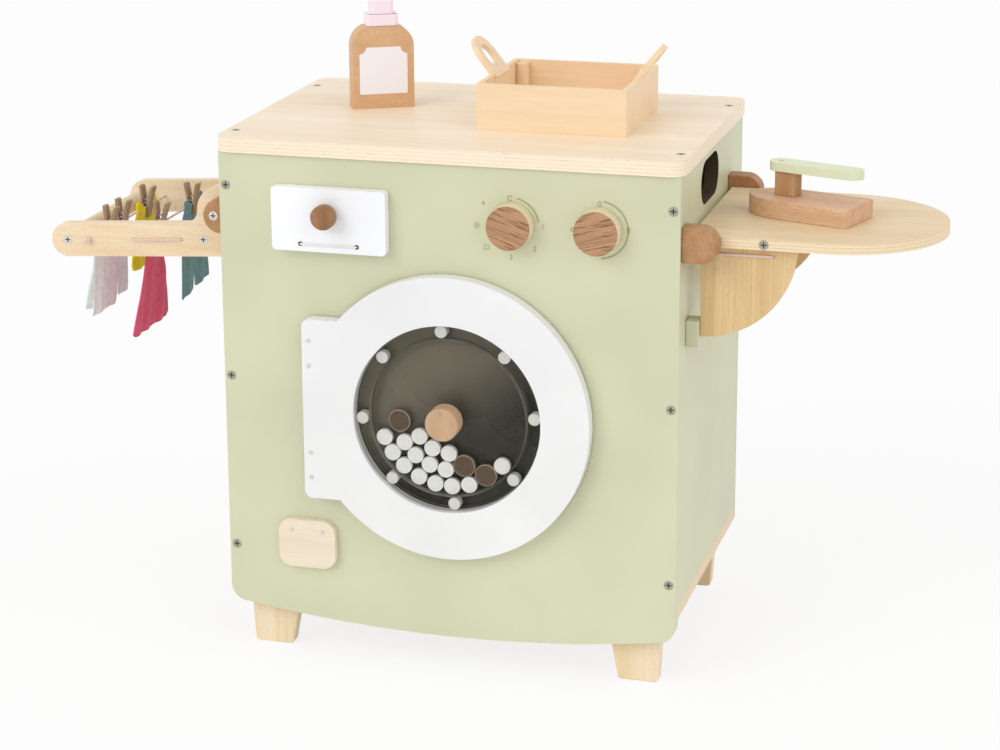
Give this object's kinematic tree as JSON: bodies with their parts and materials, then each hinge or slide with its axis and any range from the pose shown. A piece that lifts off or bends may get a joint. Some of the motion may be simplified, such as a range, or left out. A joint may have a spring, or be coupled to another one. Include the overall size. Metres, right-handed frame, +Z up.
{
  "type": "toy washing machine",
  "caption": "Wooden toy washing machine with a round door and bead drum, a fold-out clothes rack, an ironing board with iron, and a basket and soap bottle on top.",
  "frame": {"origin": "centre of the whole object's box in X and Y, on the floor under the feet", "axes": "+X to the right as seen from the front, from the clothes rack to the ironing board; +Y from the front to the back; +Z up"},
  "size_m": [0.7731, 0.305, 0.557],
  "materials": {
    "sage paint": "smooth satin paint on wood",
    "white paint": "smooth satin paint on wood",
    "light plywood": "clear matt lacquer, layers show on the edges",
    "brown wood": "plain grain, clear matt lacquer",
    "zinc steel": "zinc plated, a little dull",
    "clear sheet": "clear acrylic sheet, glossy",
    "white beads": "glossy",
    "brown clear counters": "see-through brown",
    "pink cord": "twisted cotton cord",
    "lilac felt": "felt",
    "rose felt": "felt",
    "teal felt": "felt",
    "yellow felt": "felt",
    "pink paint": "smooth satin paint on wood"
  },
  "bodies": {
    "cabinet": {"front_panel": "sage paint", "left_side_panel": "sage paint", "right_side_panel": "sage paint", "back_panel": "sage paint", "base_board": "light plywood", "top_board": "light plywood", "feet": "light plywood", "cabinet_screws": "zinc steel", "plaque": "light plywood", "plaque_nails": "zinc steel", "soap_tray": "light plywood", "panel_hinge_leaves": "zinc steel", "hinge_pins": "zinc steel", "panel_magnet": "zinc steel", "rack_blocks": "brown wood", "rack_pivot_screws": "zinc steel", "board_blocks": "brown wood", "board_pivot_pins": "zinc steel", "stop_blocks": "sage paint"},
    "door": {"door_board": "white paint", "door_hinge_leaves": "zinc steel", "door_nails": "zinc steel", "door_magnet": "zinc steel", "drum_housing": "white paint", "housing_pane": "clear sheet", "beads": "white beads", "clear_counters": "brown clear counters"},
    "drum": {"drum_discs": "clear sheet", "drum_ring": "clear sheet", "drum_posts": "white paint", "drum_knob": "light plywood", "drum_axle": "light plywood"},
    "left_dial_knob": {"left_dial": "brown wood"},
    "right_dial_knob": {"right_dial": "brown wood"},
    "soap_flap": {"flap_board": "white paint", "flap_knob": "brown wood", "flap_cord": "pink cord"},
    "rack": {"front_arm": "light plywood", "rear_arm": "light plywood", "rack_rails": "light plywood", "rack_screws": "zinc steel", "rack_line": "pink cord"},
    "hung_shirt": {"shirt": "lilac felt", "shirt_pegs": "brown wood"},
    "hung_bib": {"bib": "yellow felt", "bib_peg": "brown wood"},
    "hung_dress": {"dress": "rose felt", "dress_peg": "brown wood"},
    "hung_trousers": {"trousers": "teal felt", "trousers_peg": "brown wood"},
    "board": {"ironing_board": "light plywood", "board_cheeks": "light plywood", "board_screws": "zinc steel", "cheek_cord": "pink cord"},
    "iron": {"iron_sole": "brown wood", "iron_post": "brown wood", "iron_handle": "sage paint"},
    "laundry_basket": {"basket": "light plywood"},
    "bottle": {"soap_bottle": "brown wood", "bottle_cap": "pink paint"}
  },
  "joints": [
    {"name": "door_hinge", "type": "hinge", "parent": "cabinet", "child": "door", "pos_m": [-0.14465, -0.1269, 0.2295], "axis": [0, 0, -1], "range_deg": [0, 105]},
    {"name": "drum_spin", "type": "hinge", "parent": "door", "child": "drum", "pos_m": [-0.01495, -0.1245, 0.2295], "axis": [0, 1, 0], "continuous": true},
    {"name": "left_dial_turn", "type": "hinge", "parent": "cabinet", "child": "left_dial_knob", "pos_m": [0.04005, -0.1245, 0.4], "axis": [0, 1, 0], "continuous": true},
    {"name": "right_dial_turn", "type": "hinge", "parent": "cabinet", "child": "right_dial_knob", "pos_m": [0.11405, -0.1245, 0.4], "axis": [0, 1, 0], "continuous": true},
    {"name": "flap_hinge", "type": "hinge", "parent": "cabinet", "child": "soap_flap", "pos_m": [-0.11745, -0.1251, 0.368], "axis": [1, 0, 0], "range_deg": [0, 90]},
    {"name": "rack_fold", "type": "hinge", "parent": "cabinet", "child": "rack", "pos_m": [-0.22645, -0.011, 0.39], "axis": [0, 1, 0], "range_deg": [0, 90]},
    {"name": "shirt_swing", "type": "hinge", "parent": "rack", "child": "hung_shirt", "pos_m": [-0.35109, -0.043, 0.35661], "axis": [0, 1, 0], "range_deg": [-12, 12]},
    {"name": "bib_swing", "type": "hinge", "parent": "rack", "child": "hung_bib", "pos_m": [-0.35109, 0.0265, 0.35661], "axis": [0, 1, 0], "range_deg": [-12, 12]},
    {"name": "dress_swing", "type": "hinge", "parent": "rack", "child": "hung_dress", "pos_m": [-0.30968, -0.0405, 0.35921], "axis": [0, 1, 0], "range_deg": [-12, 12]},
    {"name": "trousers_swing", "type": "hinge", "parent": "rack", "child": "hung_trousers", "pos_m": [-0.30968, 0.036, 0.35921], "axis": [0, 1, 0], "range_deg": [-12, 12]},
    {"name": "board_fold", "type": "hinge", "parent": "cabinet", "child": "board", "pos_m": [0.19655, -0.011, 0.39], "axis": [0, -1, 0], "range_deg": [0, 40]},
    {"name": "iron_glide", "type": "slide", "parent": "board", "child": "iron", "axis": [1, 0, 0], "range_m": [0, 0.04]},
    {"name": "basket_lift", "type": "slide", "parent": "cabinet", "child": "laundry_basket", "axis": [0, 0, 1], "range_m": [0, 0.1]},
    {"name": "bottle_lift", "type": "slide", "parent": "cabinet", "child": "bottle", "axis": [0, 0, 1], "range_m": [0, 0.1]}
  ]
}
